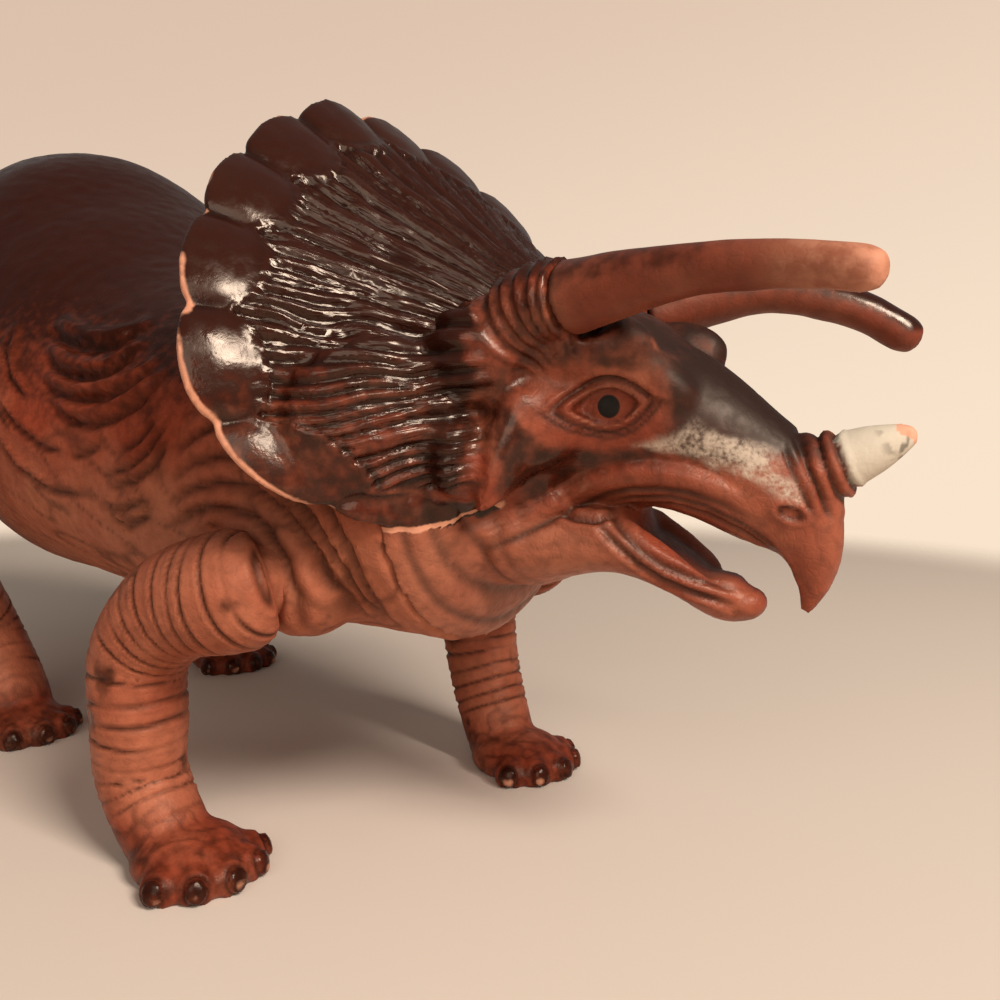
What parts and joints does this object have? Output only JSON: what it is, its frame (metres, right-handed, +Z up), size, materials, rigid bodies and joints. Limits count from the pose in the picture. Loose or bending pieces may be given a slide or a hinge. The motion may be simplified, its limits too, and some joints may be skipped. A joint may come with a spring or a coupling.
{
  "type": "toy dinosaur figure",
  "caption": "Hollow vinyl triceratops figure with a swivelling head, plugged brow horns and swivelling legs, standing on flat soles.",
  "frame": {"origin": "middle of the figure's bounding box, on the floor under the soles", "axes": "+X towards the animal's front, +Y to the animal's left, +Z up"},
  "size_m": [0.4048, 0.1378, 0.1717],
  "materials": {
    "body_vinyl": "sprayed red-brown with a dark glossy wash along the back",
    "head_vinyl": "sprayed red-brown under a dark glossy wash, with rubbed edges",
    "horn_vinyl": "sprayed red-brown, bare vinyl at the rubbed tip",
    "leg_vinyl": "sprayed red-brown, thin enough for the tan vinyl to show"
  },
  "bodies": {
    "torso": {"torso": "body_vinyl"},
    "head": {"head": "head_vinyl", "horn_right": "horn_vinyl", "horn_left": "horn_vinyl"},
    "foreleg_right": {"foreleg_right": "leg_vinyl"},
    "foreleg_left": {"foreleg_left": "leg_vinyl"},
    "hindleg_right": {"hindleg_right": "leg_vinyl"},
    "hindleg_left": {"hindleg_left": "leg_vinyl"}
  },
  "joints": [
    {"name": "neck_swivel", "type": "hinge", "parent": "torso", "child": "head", "pos_m": [0.11618, 0.004, 0.0792], "axis": [0.9781, 0.2079, 0], "range_deg": [-8, 20]},
    {"name": "foreleg_right_swivel", "type": "hinge", "parent": "torso", "child": "foreleg_right", "pos_m": [0.09598, -0.0339, 0.06], "axis": [0, 1, 0], "range_deg": [-25, 6]},
    {"name": "foreleg_left_swivel", "type": "hinge", "parent": "torso", "child": "foreleg_left", "pos_m": [0.09598, 0.0341, 0.06], "axis": [0, 1, 0], "range_deg": [-25, 6]},
    {"name": "hindleg_right_swivel", "type": "hinge", "parent": "torso", "child": "hindleg_right", "pos_m": [-0.06202, -0.0489, 0.09], "axis": [0, 1, 0], "range_deg": [-12, 20]},
    {"name": "hindleg_left_swivel", "type": "hinge", "parent": "torso", "child": "hindleg_left", "pos_m": [-0.06202, 0.0491, 0.09], "axis": [0, 1, 0], "range_deg": [-12, 20]}
  ]
}
